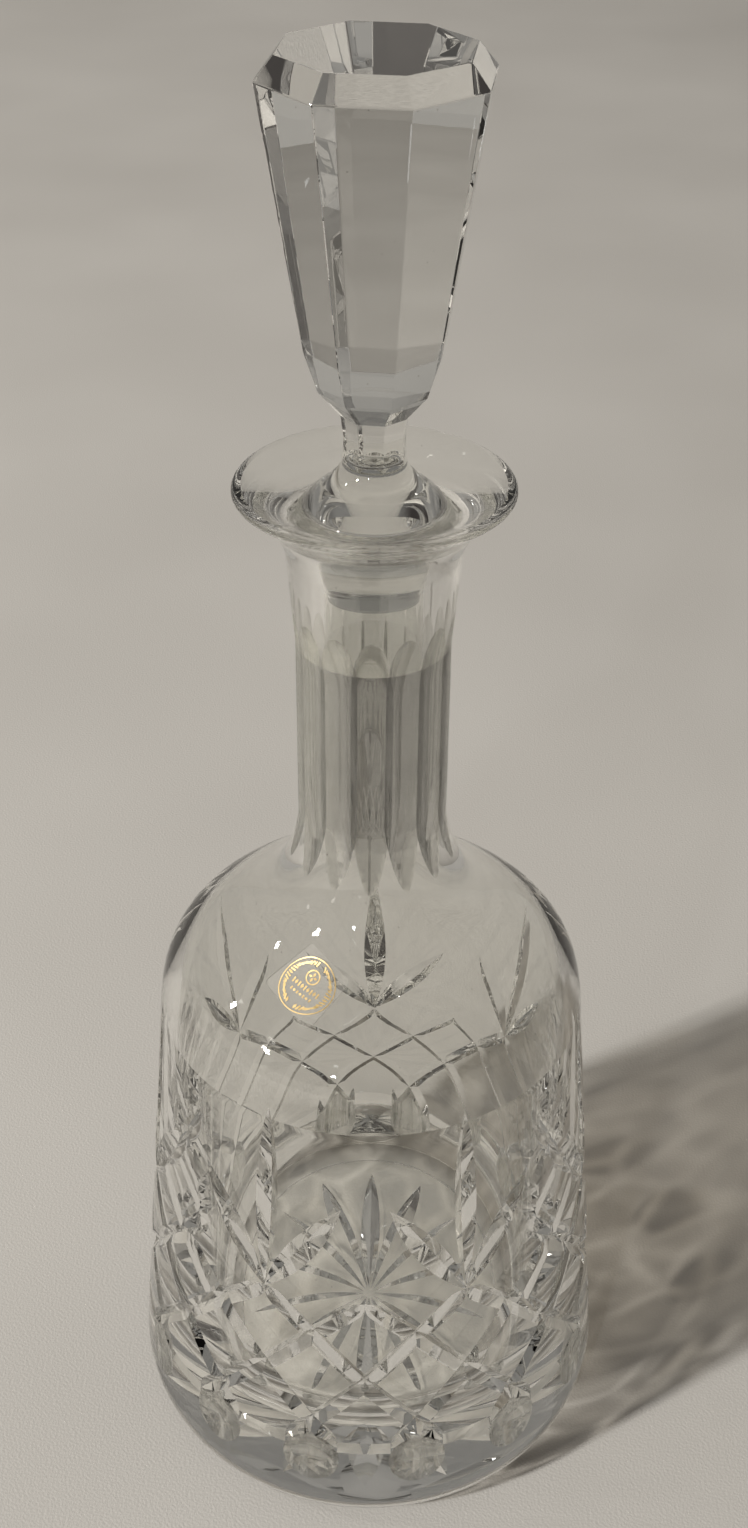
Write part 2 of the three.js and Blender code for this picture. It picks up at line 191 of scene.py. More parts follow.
def bottle_outline():
    ring = FOOT_RADIUS - FOOT_RING_WIDTH
    tip = (LIP_RADIUS, LIP_HEIGHT)
    tip_top = (LIP_RADIUS, LIP_HEIGHT + LIP_THICKNESS / 2)
    lip_top = (LIP_RADIUS - LIP_THICKNESS, LIP_HEIGHT + LIP_THICKNESS / 2)
    mouth = (MOUTH_RADIUS, LIP_FOOT + SEAT_RISE)
    in_wall = HEEL_RADIUS - HEEL_WALL
    in_top = (SHOULDER_RADIUS - SHOULDER_WALL, SIDE_TOP)
    swell, flare = shoulder_parts(SHOULDER_RADIUS, NECK_RADIUS, 22)
    in_swell, in_flare = shoulder_parts(in_top[0], BORE_RADIUS, 18)
    return outline_of(
        straight((0, BASE_HOLLOW), (ring - BASE_HOLLOW, BASE_HOLLOW)),
        straight((ring - BASE_HOLLOW, BASE_HOLLOW), (ring, 0)),
        straight((ring, 0), (FOOT_RADIUS, 0)),
        curve((FOOT_RADIUS, 0), (HEEL_RADIUS, HEEL_HEIGHT / 3), (HEEL_RADIUS, HEEL_HEIGHT), steps=12),
        straight((HEEL_RADIUS, HEEL_HEIGHT), (SHOULDER_RADIUS, SIDE_TOP), steps=4),
        swell,
        flare,
        straight((NECK_RADIUS, NECK_FOOT), (NECK_RADIUS, COLLAR_FOOT), steps=2),
        straight((NECK_RADIUS, COLLAR_FOOT), (COLLAR_RADIUS, LIP_FOOT), steps=4),
        curve((COLLAR_RADIUS, LIP_FOOT), (COLLAR_RADIUS, LIP_HEIGHT - LIP_RISE / 2), tip, steps=16),
        curve(tip, tip_top, lip_top, steps=8),
        curve(lip_top, (MOUTH_RADIUS + LIP_THICKNESS, mouth[1]), mouth, steps=14),
        curve(mouth, (BORE_RADIUS, mouth[1]), (BORE_RADIUS, LIP_FOOT), steps=10),
        straight((BORE_RADIUS, LIP_FOOT), (BORE_RADIUS, NECK_FOOT), steps=2),
        backwards(in_flare),
        backwards(in_swell),
        straight(in_top, (in_wall, BASE_THICKNESS + FLOOR_ROUND), steps=3),
        curve(
            (in_wall, BASE_THICKNESS + FLOOR_ROUND),
            (in_wall, BASE_THICKNESS),
            (in_wall - FLOOR_ROUND, BASE_THICKNESS),
            steps=16,
        ),
        straight((in_wall - FLOOR_ROUND, BASE_THICKNESS), (0, BASE_THICKNESS), steps=2),
    )


bottle_line = bottle_outline()
print("outline of", len(bottle_line[0]), "points")


# %% Turning an outline into a closed mesh
def mesh_of(name, corners, faces):
    mesh = bpy.data.meshes.new(name)
    mesh.from_pydata([tuple(c) for c in corners], [], faces)
    mesh.update()
    return mesh


def piece_of(name, mesh):
    piece = bpy.data.objects.new(name, mesh)
    bpy.context.scene.collection.objects.link(piece)
    return piece


def joined(name, solids):
    """Several closed solids, in millimetres, as one object."""
    corners, faces, start = [], [], 0
    for points, skin in solids:
        faces += [tuple(start + i for i in face) for face in skin]
        corners.append(points)
        start += len(points)
    return piece_of(name, mesh_of(name, np.concatenate(corners) * MM, faces))


def turned(name, points, turns):
    """A closed body of revolution. Points run from the axis round the outside and back to the axis."""
    angle = np.arange(turns) * 2 * math.pi / turns
    rings = points[1:-1]
    ring = np.stack([np.outer(rings[:, 0], np.sin(angle)), -np.outer(rings[:, 0], np.cos(angle))], -1)
    height = np.repeat(rings[:, 1][:, None], turns, 1)[..., None]
    corners = np.concatenate([ring, height], -1).reshape(-1, 3)
    corners = np.vstack([corners, [0, 0, points[0, 1]], [0, 0, points[-1, 1]]]) * MM
    first, last = len(corners) - 2, len(corners) - 1
    top = (len(rings) - 1) * turns
    faces = []
    for i in range(turns):
        j = (i + 1) % turns
        faces.append((first, j, i))
        faces.append((last, top + i, top + j))
        for k in range(0, top, turns):
            faces.append((k + i, k + j, k + turns + j, k + turns + i))
    return piece_of(name, mesh_of(name, corners, faces))


FANS = 7
TURNS = FANS * 40
blank = turned("decanter_glass", bottle_line[0], TURNS)
print("blank bottle:", len(blank.data.polygons), "faces")

# %% [markdown]
# ## The cutter's wheels
#
# Every cut on the real bottle is the mark of a wheel. A sharp-edged mitre wheel leaves a valley with two flat
# sides and a crisp line at the bottom, deep in the middle and fading to a point. A round-edged wheel leaves a
# hollow. Displacing the surface would blur those crisp lines, so each mark is a small solid in the wheel's
# shape, and it is taken out of the glass. Marks that don't touch each other are joined and cut together.

# %% Places on the glass
FAN_HEIGHT = 71
FLUTES = 2 * FANS
STEP = 360 / FLUTES


def outward(bearing):
    """The way out from the axis at a bearing in degrees, counted from the front towards +X."""
    return np.array([math.sin(math.radians(bearing)), -math.cos(math.radians(bearing)), 0])


def side_radius(height):
    return HEEL_RADIUS - (height - HEEL_HEIGHT) * SIDE_SLOPE


def side_place(bearing, height):
    out = outward(bearing)
    normal = out + np.array([0, 0, SIDE_SLOPE])
    return out * side_radius(height) + np.array([0, 0, height]), normal / np.linalg.norm(normal)


# %% The two kinds of wheel
ABOVE = 1.2
VALLEY_ANGLE = 100
POINT_WIDTH = 0.12


def loft(rings):
    """A closed skin over rings of points that go round counter-clockwise seen from the last ring."""
    count, sides = len(rings), len(rings[0])
    faces = [tuple(reversed(range(sides))), tuple(range((count - 1) * sides, count * sides))]
    for ring in range(count - 1):
        for i in range(sides):
            a, b = ring * sides + i, ring * sides + (i + 1) % sides
            faces.append((a, b, b + sides, a + sides))
    return np.concatenate(rings), faces


def valley(stations, angle=VALLEY_ANGLE):
    """The mark of a sharp-edged wheel along stations of (place, outward normal, width)."""
    spread = math.tan(math.radians(angle / 2))
    rings = []
    for i, (place, normal, width) in enumerate(stations):
        before, after = stations[max(i - 1, 0)][0], stations[min(i + 1, len(stations) - 1)][0]
        across = np.cross(after - before, normal)
        across /= np.linalg.norm(across)
        depth = width / 2 / spread
        half = (depth + ABOVE) * spread
        top = place + normal * ABOVE
        rings.append(np.array([place - normal * depth, top - across * half, top + across * half]))
    return loft(rings)


def combine(glass, other, operation):
    """Takes another closed body out of the glass, or joins it on, and throws that body away."""
    tool = glass.modifiers.new("tool", "BOOLEAN")
    tool.operation = operation
    tool.solver = "MANIFOLD"
    tool.object = other
    graph = bpy.context.evaluated_depsgraph_get()
    made = bpy.data.meshes.new_from_object(glass.evaluated_get(graph))
    glass.modifiers.remove(tool)
    spent = (glass.data, other.data)
    glass.data = made
    bpy.data.objects.remove(other)
    for mesh in spent:
        bpy.data.meshes.remove(mesh)
    return len(made.polygons)


# %% [markdown]
# ## Fans, diamonds, punties, flutes and star
#
# Seven fans of three leaves stand over a band of diamonds. The diamonds are what is left between two sets of
# grooves that wind round the body both ways. Under the band stand fourteen punties, round hollows that show
# everything behind them small, with a short level cut between each two. Fourteen flutes run up the neck,
# and a star of rays is cut under the base.

# %% The cuts, one function each
LEAF_LENGTH = 50
LEAF_WIDTH = 5.2
SIDE_LEAF_LENGTH = 31
SIDE_LEAF_LEAN = 32
SIDE_LEAF_WIDTH = 6
LEAF_STEPS = 28


def leaf(bearing, length, lean, width):
    stations = []
    for i in range(LEAF_STEPS + 1):
        share = i / LEAF_STEPS
        height = FAN_HEIGHT + share * length * math.cos(math.radians(lean))
        sideways = share * length * math.sin(math.radians(lean))
        turn = math.degrees(sideways / side_radius(height))
        place, normal = side_place(bearing + turn, height)
        stations.append((place, normal, POINT_WIDTH + width * 4 * share * (1 - share)))
    return valley(stations)


DIAMOND_DROPS = (10.5, 13.5, 13.5, 14)
GROOVE_ROWS = 3.5
GROOVE_WIDTH = 4.2
GROOVE_FADE = 0.22
GROOVE_STEPS = 42


def diamond_groove(bearing, way):
    """One long groove of the diamond band, from level with the fans down to the punties."""
    stations = []
    for i in range(GROOVE_STEPS + 1):
        rows = GROOVE_ROWS * i / GROOVE_STEPS
        fall = sum(drop * min(max(rows - row, 0), 1) for row, drop in enumerate(DIAMOND_DROPS))
        place, normal = side_place(bearing + way * rows * STEP / 2, FAN_HEIGHT - fall)
        fade = min(rows, GROOVE_ROWS - rows, GROOVE_FADE) / GROOVE_FADE
        stations.append((place, normal, POINT_WIDTH + GROOVE_WIDTH * math.sin(fade * math.pi / 2)))
    return valley(stations)


def hollow(centres, radius, sides):
    """The mark of a round-edged wheel: circles about each centre, square to the line between them."""
    centres = np.array(centres, float)
    rings = []
    for i, centre in enumerate(centres):
        along = centres[min(i + 1, len(centres) - 1)] - centres[max(i - 1, 0)]
        along /= np.linalg.norm(along)
        across = np.cross([0, 0, 1], centre) / np.linalg.norm(centre[:2])
        deep = np.cross(along, across)
        turn = np.arange(sides) * 2 * math.pi / sides
        rings.append(centre + radius * (np.outer(np.cos(turn), across) + np.outer(np.sin(turn), -deep)))
    return loft(rings)


PUNTY_TOOL_RADIUS = 14
PUNTY_HEIGHT = 23.2
PUNTY_DEPTH = 2
PUNTY_SIDES = 72
PUNTY_RINGS = 90
PUNTY_REACH = 60


def punty(bearing):
    """The mark of a ball-edged wheel: the part of a ball that faces the glass, closed behind it."""
    out = outward(bearing)
    across = np.cross([0, 0, 1], out)
    reach = side_radius(PUNTY_HEIGHT) - PUNTY_DEPTH + PUNTY_TOOL_RADIUS
    centre = out * reach + np.array([0, 0, PUNTY_HEIGHT])
    turn = np.arange(PUNTY_SIDES) * 2 * math.pi / PUNTY_SIDES
    rings = []
    for tilt in np.radians(np.linspace(0.5, PUNTY_REACH, PUNTY_RINGS)):
        flat = np.outer(np.cos(turn), across) + np.outer(np.sin(turn), [0, 0, -1])
        rings.append(centre + PUNTY_TOOL_RADIUS * (math.sin(tilt) * flat - math.cos(tilt) * out))
    return loft(rings)


BAR_HEIGHT = 26.5
BAR_WIDTH = 3.4
BAR_STEPS = 8


def heel_bar(bearing):
    """A short level groove that closes the diamond band between two punties."""
    stations = []
    for i in range(BAR_STEPS + 1):
        place, normal = side_place(bearing + (i / BAR_STEPS - 0.5) * STEP / 2, BAR_HEIGHT)
        stations.append((place, normal, BAR_WIDTH))
    return valley(stations)


FLUTE_DEPTH = 1.5
FLUTE_TOOL_RADIUS = 9
FLUTE_RUN_OUT = 12.4
FLUTE_RUN_OUT_DEPTH = 3
FLUTE_OVER_COLLAR = 8
FLUTE_UNDER_NECK = 6
FLUTE_FADE = np.linspace(1.3, 0, 14)
FLUTE_TOOL_SIDES = 240


def flute(bearing):
    low, high = NECK_FOOT - FLUTE_UNDER_NECK, COLLAR_FOOT + FLUTE_OVER_COLLAR
    stops = [(low + FLUTE_RUN_OUT * (1 - share), share) for share in FLUTE_FADE]
    stops += [(high - FLUTE_RUN_OUT * (1 - share), share) for share in FLUTE_FADE[::-1]]
    centres = []
    for height, share in stops:
        reach = NECK_RADIUS - FLUTE_DEPTH + FLUTE_TOOL_RADIUS + FLUTE_RUN_OUT_DEPTH * share * share
        centres.append(outward(bearing) * reach + np.array([0, 0, height]))
    return hollow(centres, FLUTE_TOOL_RADIUS, FLUTE_TOOL_SIDES)


STAR_EYE = 1.5
STAR_RADIUS = 36
STAR_WIDTH = 5.5
STAR_STEPS = 16


def star_ray(bearing):
    stations = []
    for i in range(STAR_STEPS + 1):
        share = i / STAR_STEPS
        reach = STAR_EYE + (STAR_RADIUS - STAR_EYE) * share
        place = outward(bearing) * reach + np.array([0, 0, BASE_HOLLOW])
        width = POINT_WIDTH + STAR_WIDTH * 4 * share * (1 - share)
        stations.append((place, np.array([0, 0, -1.0]), width))
    return valley(stations)


# %% Cut the bottle
fan_bearings = [(i + 0.5) * 360 / FANS for i in range(FANS)]
flute_bearings = [i * STEP for i in range(FLUTES)]
passes = {
    "neck flutes": [[flute(b) for b in flute_bearings[i::2]] for i in (0, 1)],
    "punties": [[punty(b + STEP / 2) for b in flute_bearings]],
    "bars between the punties": [[heel_bar(b) for b in flute_bearings]],
    "star": [[star_ray(b) for b in flute_bearings[i::2]] for i in (0, 1)],
    "diamond grooves": [[diamond_groove(b, way) for b in flute_bearings] for way in (1, -1)],
    "fans": [
        [leaf(b, LEAF_LENGTH, 0, LEAF_WIDTH) for b in fan_bearings],
        [leaf(b, SIDE_LEAF_LENGTH, SIDE_LEAF_LEAN, SIDE_LEAF_WIDTH) for b in fan_bearings],
        [leaf(b, SIDE_LEAF_LENGTH, -SIDE_LEAF_LEAN, SIDE_LEAF_WIDTH) for b in fan_bearings],
    ],
}
for name, rounds in passes.items():
    for solids in rounds:
        count = combine(blank, joined("cutter", solids), "DIFFERENCE")
    print("after the", name, "the bottle has", count, "faces")

# %% [markdown]
# ## Polishing the bottle
#
# Cutting leaves the round walls in long thin faces. If Blender guessed a smooth normal from them, the glass
# would shimmer. Each face that still lies on the turned outline gets the exact normal of the curve instead,
# as a fire-polished surface has, and every edge where two cuts meet stays sharp.

# %% Exact normals for the turned faces
SHARP = math.radians(13)
ON_CURVE = 0.03
ALONG_CURVE = 0.99


def polish(piece, line, sharp=SHARP):
    """Smooth shading with sharp cut edges, and exact normals wherever the glass follows its outline."""
    mesh = piece.data
    mesh.shade_smooth()
    mesh.set_sharp_from_angle(angle=sharp)
    corners = np.zeros(len(mesh.vertices) * 3)
    mesh.vertices.foreach_get("co", corners)
    corners = corners.reshape(-1, 3) / MM
    loops = np.zeros(len(mesh.loops), int)
    mesh.loops.foreach_get("vertex_index", loops)
    centres, flats = np.zeros((2, len(mesh.polygons), 3))
    mesh.polygons.foreach_get("center", centres.reshape(-1))
    mesh.polygons.foreach_get("normal", flats.reshape(-1))
    centres /= MM
    sizes = np.zeros(len(mesh.polygons), int)
    mesh.polygons.foreach_get("loop_total", sizes)
    face_of = np.repeat(np.arange(len(sizes)), sizes)

    points, normals = line
    start, along = points[:-1], np.diff(points, axis=0)
    long = np.linalg.norm(along, axis=1)

    def spot(place):
        """Which span of the outline is nearest, how far along it, and how far off."""
        flat = np.stack([np.linalg.norm(place[:, :2], axis=1), place[:, 2]], 1)
        best = np.full(len(flat), 1e9)
        which, share = np.zeros(len(flat), int), np.zeros(len(flat))
        for k in range(len(start)):
            t = np.clip((flat - start[k]) @ along[k] / long[k] ** 2, 0, 1)
            off = np.linalg.norm(flat - start[k] - t[:, None] * along[k], axis=1)
            nearer = off < best
            best[nearer], which[nearer], share[nearer] = off[nearer], k, t[nearer]
        return which, share, best

    def turned_normal(span, share, place):
        flat = normals[span, 0] * (1 - share[:, None]) + normals[span, 1] * share[:, None]
        round_ = place[:, :2] / np.maximum(np.linalg.norm(place[:, :2], axis=1, keepdims=True), 1e-9)
        full = np.concatenate([round_ * flat[:, :1], flat[:, 1:]], 1)
        return full / np.linalg.norm(full, axis=1, keepdims=True)

    span, share, off = spot(centres)
    turned_face = (off < ON_CURVE) & ((turned_normal(span, share, centres) * flats).sum(1) > ALONG_CURVE)
    lit = np.zeros((len(loops), 3))
    mesh.corner_normals.foreach_get("vector", lit.reshape(-1))
    chosen = np.nonzero(turned_face[face_of])[0]
    place = corners[loops[chosen]]
    spans = span[face_of[chosen]]
    flat = np.stack([np.linalg.norm(place[:, :2], axis=1), place[:, 2]], 1)
    share = np.clip(((flat - start[spans]) * along[spans]).sum(1) / long[spans] ** 2, 0, 1)
    lit[chosen] = turned_normal(spans, share, place)
    mesh.normals_split_custom_set([tuple(n) for n in lit])
    return turned_face.mean()


share = polish(blank, bottle_line)
print("share of faces on the turned outline:", round(float(share), 2))

# %% [markdown]
# ## The stopper
#
# The head is an eight-sided tapering block with polished flat facets, a bevel round its table and another
# round its foot, and a short eight-sided waist. Below the waist the glass is round: a skirt that flares over
# the mouth, and a peg ground to the neck. Real facet edges are never razor sharp, so the block's edges get a
# tiny bevel that catches a thin line of light.

# %% The stopper's sizes, in millimetres
STOPPER_TURN = 16.5
TABLE_RADIUS = 17.6
GIRDLE_RADIUS = 21.2
CROWN_HEIGHT = 4.2
HEAD_LENGTH = 47.5
HEAD_FOOT_RADIUS = 13.4
BEVEL_RADIUS = 10.8
BEVEL_HEIGHT = 8
WAIST_RADIUS = 6
WAIST_TOP_RADIUS = 6.6
WAIST_BEVEL_HEIGHT = 5
WAIST_HEIGHT = 9.5
SKIRT_RADIUS = 14
SKIRT_HEIGHT = 9
PEG_LENGTH = 17.5
PEG_TAPER = 0.35
PEG_CHAMFER = 1.6
PEG_CLEARANCE = 0.25
HEAD_OVERLAP = 2
SEAT_CLEARANCE = 0.3
HEAD_SIDES = 8
EDGE_BEVEL = 0.22
STEM_TURNS = 192
STOPPER_SHARP = math.radians(8)

SKIRT_FOOT = LIP_FOOT + SEAT_RISE + SEAT_CLEARANCE
WAIST_FOOT = SKIRT_FOOT + SKIRT_HEIGHT
WAIST_TOP = WAIST_FOOT + WAIST_HEIGHT
BEVEL_FOOT = WAIST_TOP + WAIST_BEVEL_HEIGHT
HEAD_FOOT = BEVEL_FOOT + BEVEL_HEIGHT
GIRDLE = HEAD_FOOT + HEAD_LENGTH
STOPPER_TOP = GIRDLE + CROWN_HEIGHT


# %% The round part: skirt and peg
def stem_outline():
    peg_top = BORE_RADIUS - PEG_CLEARANCE
    peg_foot = SKIRT_FOOT - PEG_LENGTH
    tip = peg_top - PEG_TAPER
    edge = SKIRT_RADIUS - SEAT_CLEARANCE
    top = WAIST_FOOT + HEAD_OVERLAP

    def at(inward, upward):
        return edge + (WAIST_RADIUS - edge) * inward, SKIRT_FOOT + SKIRT_HEIGHT * upward

    return outline_of(
        straight((0, peg_foot), (tip - PEG_CHAMFER, peg_foot), steps=2),
        curve((tip - PEG_CHAMFER, peg_foot), (tip, peg_foot), (tip, peg_foot + PEG_CHAMFER), steps=8),
        straight((tip, peg_foot + PEG_CHAMFER), (peg_top, LIP_FOOT), steps=4),
        curve((peg_top, LIP_FOOT), (peg_top, SKIRT_FOOT), (edge, SKIRT_FOOT), steps=14),
        curve(at(0, 0), at(0.2, 0.3), at(0.88, 0.6), at(1, 1), steps=28),
        straight((WAIST_RADIUS, WAIST_FOOT), (WAIST_RADIUS - 1, top)),
        straight((WAIST_RADIUS - 1, top), (0, top)),
    )


stem_line = stem_outline()
stem = turned("stopper_glass", stem_line[0], STEM_TURNS)


# %% The faceted head
def head_mesh():
    rings = [
        (WAIST_RADIUS * 1.02, WAIST_FOOT),
        (WAIST_RADIUS, WAIST_FOOT + WAIST_HEIGHT / 2),
        (WAIST_TOP_RADIUS, WAIST_TOP),
        (BEVEL_RADIUS, BEVEL_FOOT),
        (HEAD_FOOT_RADIUS, HEAD_FOOT),
        (GIRDLE_RADIUS, GIRDLE),
        (TABLE_RADIUS, STOPPER_TOP),
    ]
    build = bmesh.new()
    loops = []
    for radius, height in rings:
        ring = []
        for i in range(HEAD_SIDES):
            place = outward(STOPPER_TURN + i * 360 / HEAD_SIDES) * radius + np.array([0, 0, height])
            ring.append(build.verts.new(place * MM))
        loops.append(ring)
    build.faces.new(reversed(loops[0]))
    build.faces.new(loops[-1])
    for low_ring, high_ring in zip(loops, loops[1:]):
        for i in range(HEAD_SIDES):
            j = (i + 1) % HEAD_SIDES
            build.faces.new((low_ring[i], low_ring[j], high_ring[j], high_ring[i]))
    edges = [e for e in build.edges if min(v.co.z for v in e.verts) > (WAIST_FOOT + 0.1) * MM]
    bmesh.ops.bevel(build, geom=edges, offset=EDGE_BEVEL * MM, segments=2, profile=0.6, affect="EDGES")
    bmesh.ops.recalc_face_normals(build, faces=build.faces)
    mesh = bpy.data.meshes.new("head")
    build.to_mesh(mesh)
    build.free()
    return mesh


print("stopper faces:", combine(stem, piece_of("head", head_mesh()), "UNION"))
share = polish(stem, stem_line, STOPPER_SHARP)
print("share of stopper faces that are round:", round(float(share), 2))

# %% [markdown]
# ## The label on the shoulder
#
# A small square of clear film stands nearly on its corner on the shoulder, with a round gold print. It is
# really flat vinyl that was pressed onto the glass, so both are drawn flat, in millimetres across and along,
# and then laid on the shoulder's own curve. The real print's lettering is left out: plain rings, bars and
# lozenges stand in for it.

# %% Laying a flat shape on the shoulder
LABEL_SIDE = 13.2
LABEL_THICKNESS = 0.2
LABEL_CLEARANCE = 0.35
LABEL_CORNER = 1.2
LABEL_TURN = 62
LABEL_BEARING = -24.5
LABEL_CLIMB = 31.5
SEAL_RADIUS = 6.1
FOIL_THICKNESS = 0.05
FOIL_LIFT = 0.02
FILM_RINGS = 10
FILM_SHARP = math.radians(40)

shoulder_run = outline_of(*shoulder_parts(SHOULDER_RADIUS, NECK_RADIUS, 60))
shoulder_points = shoulder_run[0]
shoulder_way = np.append(0, np.cumsum(np.linalg.norm(np.diff(shoulder_points, axis=0), axis=1)))
shoulder_normals = np.vstack([shoulder_run[1][:, 0], shoulder_run[1][-1:, 1]])


def on_shoulder(flat, lift):
    """Points across and along the label become places on the shoulder, lifted off the glass."""
    flat = np.atleast_2d(flat)
    climb = LABEL_CLIMB + flat[:, 1]
    radius, height, out, up = (
        np.interp(climb, shoulder_way, column)
        for column in (*shoulder_points.T, *shoulder_normals.T)
    )
    middle = np.interp(LABEL_CLIMB, shoulder_way, shoulder_points[:, 0])
    bearing = math.radians(LABEL_BEARING) + flat[:, 0] / middle
    radius, height = radius + out * lift, height + up * lift
    return np.stack([radius * np.sin(bearing), -radius * np.cos(bearing), height], 1)


def disc_solid(edge, centre, rings, lift, thickness):
    """A thin solid over a flat outline, with rings of points from its centre so that it bends smoothly."""
    edge, centre = np.array(edge), np.array(centre)
    count = len(edge)
    flat = np.vstack([centre + (edge - centre) * (k + 1) / rings for k in range(rings)] + [centre[None]])
    corners = np.vstack([on_shoulder(flat, lift), on_shoulder(flat, lift + thickness)])
    low_mid, top = len(flat) - 1, len(flat)
    faces = []
    for i in range(count):
        j = (i + 1) % count
        faces += [(low_mid, j, i), (top + low_mid, top + i, top + j)]
        for k in range(0, (rings - 1) * count, count):
            faces.append((k + i, k + j, k + count + j, k + count + i))
            faces.append((top + k + i, top + k + count + i, top + k + count + j, top + k + j))
        rim = (rings - 1) * count
        faces.append((rim + i, rim + j, top + rim + j, top + rim + i))
    return corners, faces


def ring_solid(centre, radius, width, sides, lift, thickness):
    """A thin flat ring laid on the shoulder."""
    turn = np.arange(sides) * 2 * math.pi / sides
    way = np.stack([np.cos(turn), np.sin(turn)], 1)
    inner, outer = np.array(centre) + way * (radius - width), np.array(centre) + way * radius
    sections = [on_shoulder(inner, lift), on_shoulder(outer, lift)]
    sections += [on_shoulder(outer, lift + thickness), on_shoulder(inner, lift + thickness)]
    corners = np.vstack(sections)
    faces = []
    for i in range(sides):
        j = (i + 1) % sides
        for a in range(4):
            b = (a + 1) % 4
            faces.append((a * sides + i, b * sides + i, b * sides + j, a * sides + j))
    return corners, faces


# %% The clear film
def turned_flat(points, angle, place=(0, 0)):
    spin = np.array([[math.cos(angle), math.sin(angle)], [-math.sin(angle), math.cos(angle)]])
    return np.array(points) @ spin + np.array(place)


def rounded_square(side, corner, turn, steps=8):
    edge = []
    reach = (side / 2 - corner) * math.sqrt(2)
    for quarter in range(4):
        mid = math.radians(90 * quarter + 45)
        for i in range(steps + 1):
            angle = math.radians(90 * (quarter + i / steps))
            across = reach * math.cos(mid) + corner * math.cos(angle)
            along = reach * math.sin(mid) + corner * math.sin(angle)
            edge.append((across, along))
    return turned_flat(edge, turn)


film_edge = rounded_square(LABEL_SIDE, LABEL_CORNER, math.radians(LABEL_TURN))
film_solid = disc_solid(film_edge, (0, 0), FILM_RINGS, LABEL_CLEARANCE, LABEL_THICKNESS)
film = joined("label_clear_film", [film_solid])
film.data.shade_smooth()
film.data.set_sharp_from_angle(angle=FILM_SHARP)
print("film across its corners, mm:", round(float(np.ptp(film_edge[:, 0])), 1))

# %% The gold print
SEAL_LEAN = math.radians(-18)
RING_WIDTH = 0.24
ROUND_PLACES = 44
ROUND_GAPS = (0, 1, 22, 23)
ROUND_RADIUS = 4.9
ROUND_BAR = (0.36, 1.25)
ROUND_LOZENGE = (0.6, 1.3)
ROWS = ((-0.7, 1.15), (-2.3, 0.7))
ROW_HALF = 4
ROW_STEP = 0.78
ROW_BAR_WIDTH = 0.34
ROW_LOZENGE_WIDTH = 0.7
MEDALLION_HEIGHT = 2.0
MEDALLION_RADIUS = 1.65
MEDALLION_WIDTH = 0.3
PETALS = 4
PETAL_REACH = 0.62
PETAL = (0.62, 1.0)


def bar(width, length):
    x, y = width / 2, length / 2
    return [(-x, -y), (x, -y), (x, y), (-x, y)]


def lozenge(width, length):
    return [(0, -length / 2), (width / 2, 0), (0, length / 2), (-width / 2, 0)]


def seal_marks():
    """Outlines of the bars and lozenges of the print, before they are laid on the shoulder."""
    marks = []
    for i in range(ROUND_PLACES):
        if i in ROUND_GAPS:
            continue
        angle = i * 2 * math.pi / ROUND_PLACES
        place = (ROUND_RADIUS * math.sin(angle), ROUND_RADIUS * math.cos(angle))
        shape = lozenge(*ROUND_LOZENGE) if i % 3 == 0 else bar(*ROUND_BAR)
        marks.append(turned_flat(shape, angle, place))
    for row, (along, height) in enumerate(ROWS):
        for i in range(-ROW_HALF + row, ROW_HALF + 1 - row):
            shape = lozenge(ROW_LOZENGE_WIDTH, height) if (i + row) % 2 else bar(ROW_BAR_WIDTH, height)
            marks.append(turned_flat(shape, 0, (i * ROW_STEP, along)))
    for i in range(PETALS):
        angle = i * 2 * math.pi / PETALS
        place = (PETAL_REACH * math.sin(angle), MEDALLION_HEIGHT + PETAL_REACH * math.cos(angle))
        marks.append(turned_flat(lozenge(*PETAL), angle, place))
    return [turned_flat(mark, SEAL_LEAN) for mark in marks]


foil_lift = LABEL_CLEARANCE + LABEL_THICKNESS + FOIL_LIFT
medallion = turned_flat([(0, MEDALLION_HEIGHT)], SEAL_LEAN)[0]
foil_solids = [
    ring_solid((0, 0), SEAL_RADIUS, RING_WIDTH, 120, foil_lift, FOIL_THICKNESS),
    ring_solid(medallion, MEDALLION_RADIUS, MEDALLION_WIDTH, 48, foil_lift, FOIL_THICKNESS),
]
foil_solids += [disc_solid(mark, mark.mean(0), 2, foil_lift, FOIL_THICKNESS) for mark in seal_marks()]
seal = joined("label_gold_print", foil_solids)
print("gold print:", len(foil_solids), "marks")

# %% [markdown]
# ## Crystal
#
# Lead crystal is clear, dense and very bright where it is cut. A physical glass is the only material that
# gives the bent view of the far cuts through the near ones, so the shader is a real refracting one. What
# tells it from a perfect computer glass is small: a faint ripple left by blowing, a hair of polishing haze, a
# worn foot and a few specks of dust. They come from one group that both pieces share, each with its own
# values. The shadow is a set tint with a drawn net of bright lines, because focused light isn't traced.

# %% The group for handled glass
def group_of(name, inputs, outputs):
    group = bpy.data.node_groups.new(name, "ShaderNodeTree")
    for label, kind, value in inputs:
        socket = group.interface.new_socket(label, in_out="INPUT", socket_type=kind)
        socket.default_value = value
    for label, kind in outputs:
        group.interface.new_socket(label, in_out="OUTPUT", socket_type=kind)
    return group, group.nodes.new("NodeGroupInput"), group.nodes.new("NodeGroupOutput")


def node(tree, kind, **values):
    made = tree.nodes.new(kind)
    for key, value in values.items():
        setattr(made, key, value)
    return made


def feed(tree, socket, value):
    """Gives a socket a link, a number or a colour."""
    if isinstance(value, bpy.types.NodeSocket):
        tree.links.new(value, socket)
    else:
        socket.default_value = (*value, 1) if isinstance(value, tuple) else value


def noise(tree, place, scale, detail, roughness=0.5):
    made = node(tree, "ShaderNodeTexNoise")
    for label, value in (("Vector", place), ("Scale", scale), ("Detail", detail), ("Roughness", roughness)):
        feed(tree, made.inputs[label], value)
    return made.outputs["Fac"]


